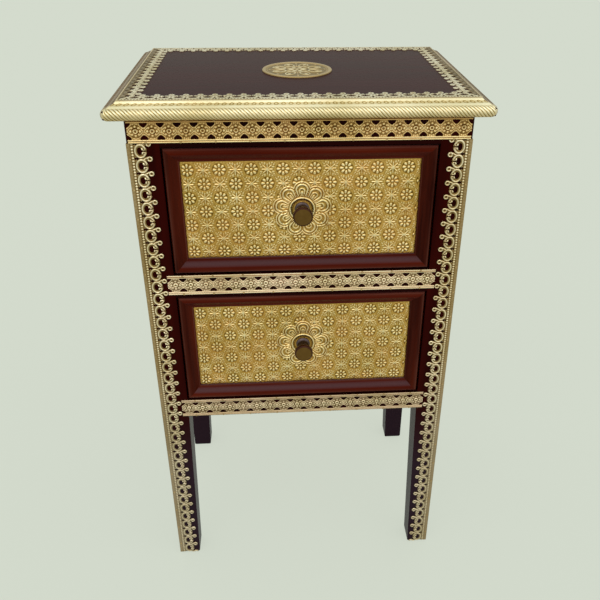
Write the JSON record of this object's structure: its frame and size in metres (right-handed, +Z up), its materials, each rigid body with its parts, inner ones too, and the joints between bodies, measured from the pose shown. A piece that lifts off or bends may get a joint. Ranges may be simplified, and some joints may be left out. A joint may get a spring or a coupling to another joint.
{
  "type": "bedside cabinet",
  "caption": "Small dark wood cabinet on straight legs, with drawers one above the other, faced with pierced and embossed brass.",
  "frame": {"origin": "on the floor under the middle of the cabinet", "axes": "+Z up, +X to the right of someone who faces the drawers, -Y out of the front"},
  "size_m": [0.412, 0.304, 0.6815],
  "materials": {
    "dark_wood": "dark red-brown, polished",
    "inner_wood": "plain, unpolished",
    "brass": "embossed sheet, lightly aged",
    "knob": "turned, antique bronze colour",
    "screw": "plain steel"
  },
  "bodies": {
    "carcass": {"top_border": "brass", "brass_tacks": "brass", "left_corner_strip": "brass", "right_corner_strip": "brass", "top_board": "dark_wood", "front_left_post": "dark_wood", "front_right_post": "dark_wood", "back_left_post": "dark_wood", "back_right_post": "dark_wood", "left_side_panel": "dark_wood", "right_side_panel": "dark_wood", "back_panel": "inner_wood", "bottom_board": "inner_wood", "top_rail": "dark_wood", "middle_rail": "dark_wood", "bottom_rail": "dark_wood", "back_top_rail": "dark_wood", "back_bottom_rail": "dark_wood", "upper_left_runner": "inner_wood", "upper_right_runner": "inner_wood", "lower_left_runner": "inner_wood", "lower_right_runner": "inner_wood", "left_kicker": "inner_wood", "right_kicker": "inner_wood", "upper_stops": "inner_wood", "lower_stops": "inner_wood", "frieze_band": "brass", "middle_band": "brass", "bottom_band": "brass", "medallion": "brass", "front_top_edge": "brass", "back_top_edge": "brass", "left_top_edge": "brass", "right_top_edge": "brass"},
    "upper_drawer": {"upper_front_board": "dark_wood", "upper_mould_top": "dark_wood", "upper_mould_bottom": "dark_wood", "upper_mould_left": "dark_wood", "upper_mould_right": "dark_wood", "upper_brass_panel": "brass", "upper_box_left": "inner_wood", "upper_box_right": "inner_wood", "upper_box_back": "inner_wood", "upper_box_bottom": "inner_wood", "upper_knob": "knob", "upper_knob_screw": "screw"},
    "lower_drawer": {"lower_front_board": "dark_wood", "lower_mould_top": "dark_wood", "lower_mould_bottom": "dark_wood", "lower_mould_left": "dark_wood", "lower_mould_right": "dark_wood", "lower_brass_panel": "brass", "lower_box_left": "inner_wood", "lower_box_right": "inner_wood", "lower_box_back": "inner_wood", "lower_box_bottom": "inner_wood", "lower_knob": "knob", "lower_knob_screw": "screw"}
  },
  "joints": [
    {"name": "upper_drawer_slide", "type": "slide", "parent": "carcass", "child": "upper_drawer", "axis": [0, -1, 0], "range_m": [0, 0.18]},
    {"name": "lower_drawer_slide", "type": "slide", "parent": "carcass", "child": "lower_drawer", "axis": [0, -1, 0], "range_m": [0, 0.18]}
  ]
}
